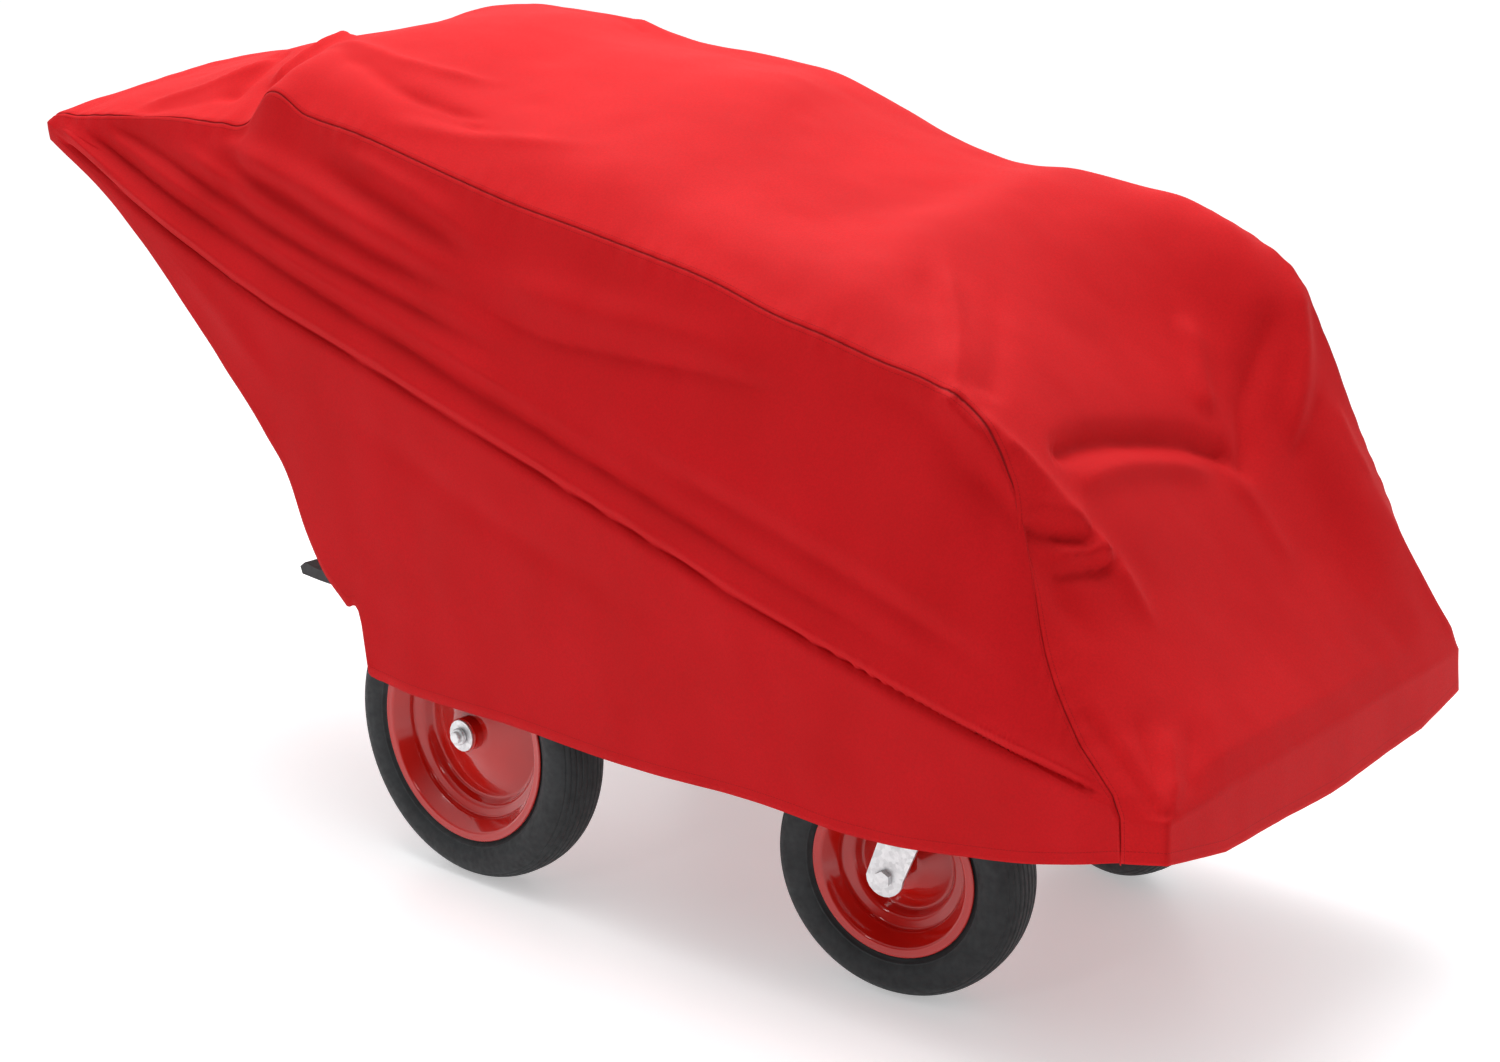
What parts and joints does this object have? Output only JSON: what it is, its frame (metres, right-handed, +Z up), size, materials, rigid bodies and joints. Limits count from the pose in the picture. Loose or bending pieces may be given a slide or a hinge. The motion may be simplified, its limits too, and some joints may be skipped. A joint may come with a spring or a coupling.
{
  "type": "push buggy with storage cover",
  "caption": "Multi-seat push buggy on flat-free wheels, parked under a fitted red fabric storage cover that hides its tub, seats and handle.",
  "frame": {"origin": "on the floor, below the centre of the whole object's box", "axes": "+X towards the front casters, +Y to the buggy's left, +Z up"},
  "size_m": [1.908, 0.732, 1.116],
  "materials": {
    "cover_top_fabric": "matt tight weave, sunlit red",
    "cover_side_fabric": "matt tight weave, red",
    "tyre_rubber": "moulded, fine tread ribs",
    "rim_enamel": "gloss red enamel",
    "zinc_plate": "bright zinc plate",
    "chassis_enamel": "satin black enamel",
    "tub_plastic": "rotationally moulded, fine stipple",
    "seat_plastic": "rotationally moulded, fine stipple",
    "harness_webbing": "woven webbing",
    "grip_foam": "closed-cell foam",
    "brake_rubber": "dipped rubber"
  },
  "bodies": {
    "chassis": {"rear_axle": "zinc_plate", "rear_washer_left": "zinc_plate", "rear_washer_right": "zinc_plate", "rear_push_nut_left": "zinc_plate", "rear_push_nut_right": "zinc_plate", "chassis_rail_left": "chassis_enamel", "chassis_rail_right": "chassis_enamel", "cross_member_rear": "chassis_enamel", "cross_member_middle": "chassis_enamel", "cross_member_front": "chassis_enamel", "axle_hanger_left": "chassis_enamel", "axle_hanger_right": "chassis_enamel", "caster_plate_left": "zinc_plate", "caster_plate_right": "zinc_plate", "swivel_bearing_left": "zinc_plate", "swivel_bearing_right": "zinc_plate", "tub": "tub_plastic", "seat_row_rear": "seat_plastic", "seat_row_middle": "seat_plastic", "seat_row_front": "seat_plastic", "harness_rear_left": "harness_webbing", "harness_rear_right": "harness_webbing", "harness_middle_left": "harness_webbing", "harness_middle_right": "harness_webbing", "harness_front_left": "harness_webbing", "harness_front_right": "harness_webbing", "front_grab_bar": "chassis_enamel", "push_handle": "chassis_enamel", "handle_grip": "grip_foam", "brake_bracket_left": "chassis_enamel", "brake_bracket_right": "chassis_enamel"},
    "cover": {"cover_top_panel": "cover_top_fabric", "cover_side_left": "cover_side_fabric", "cover_side_right": "cover_side_fabric"},
    "brake": {"brake_shaft": "zinc_plate", "brake_pedal": "brake_rubber", "brake_shoe_left": "brake_rubber", "brake_shoe_right": "brake_rubber"},
    "rear_wheel_left": {"rear_left_tyre": "tyre_rubber", "rear_left_rim": "rim_enamel", "rear_left_hub": "zinc_plate"},
    "caster_left": {"caster_fork_left": "zinc_plate", "caster_bolt_left": "zinc_plate", "caster_nut_left": "zinc_plate"},
    "front_wheel_left": {"front_left_tyre": "tyre_rubber", "front_left_rim": "rim_enamel", "front_left_hub": "zinc_plate"},
    "rear_wheel_right": {"rear_right_tyre": "tyre_rubber", "rear_right_rim": "rim_enamel", "rear_right_hub": "zinc_plate"},
    "caster_right": {"caster_fork_right": "zinc_plate", "caster_bolt_right": "zinc_plate", "caster_nut_right": "zinc_plate"},
    "front_wheel_right": {"front_right_tyre": "tyre_rubber", "front_right_rim": "rim_enamel", "front_right_hub": "zinc_plate"}
  },
  "joints": [
    {"name": "cover_lift", "type": "slide", "parent": "chassis", "child": "cover", "axis": [0, 0, 1], "range_m": [0, 0.6]},
    {"name": "brake_pedal_press", "type": "hinge", "parent": "chassis", "child": "brake", "pos_m": [-0.385, 0, 0.305], "axis": [0, -1, 0], "range_deg": [0, 12], "stiffness_Nm_per_rad": 3, "springref_deg": -17.19},
    {"name": "rear_wheel_left_spin", "type": "hinge", "parent": "chassis", "child": "rear_wheel_left", "pos_m": [-0.128, 0.313, 0.2032], "axis": [0, 1, 0], "continuous": true},
    {"name": "rear_wheel_right_spin", "type": "hinge", "parent": "chassis", "child": "rear_wheel_right", "pos_m": [-0.128, -0.313, 0.2032], "axis": [0, 1, 0], "continuous": true},
    {"name": "caster_left_swivel", "type": "hinge", "parent": "chassis", "child": "caster_left", "pos_m": [0.587, 0.223, 0.35], "axis": [0, 0, 1], "range_deg": [-4, 76]},
    {"name": "caster_right_swivel", "type": "hinge", "parent": "chassis", "child": "caster_right", "pos_m": [0.587, -0.223, 0.35], "axis": [0, 0, 1], "range_deg": [-68, 14]},
    {"name": "front_wheel_left_spin", "type": "hinge", "parent": "caster_left", "child": "front_wheel_left", "pos_m": [0.52423, 0.2434, 0.1651], "axis": [0.309, 0.9511, 0], "continuous": true},
    {"name": "front_wheel_right_spin", "type": "hinge", "parent": "caster_right", "child": "front_wheel_right", "pos_m": [0.52176, -0.23298, 0.1651], "axis": [-0.1513, 0.9885, 0], "continuous": true}
  ]
}
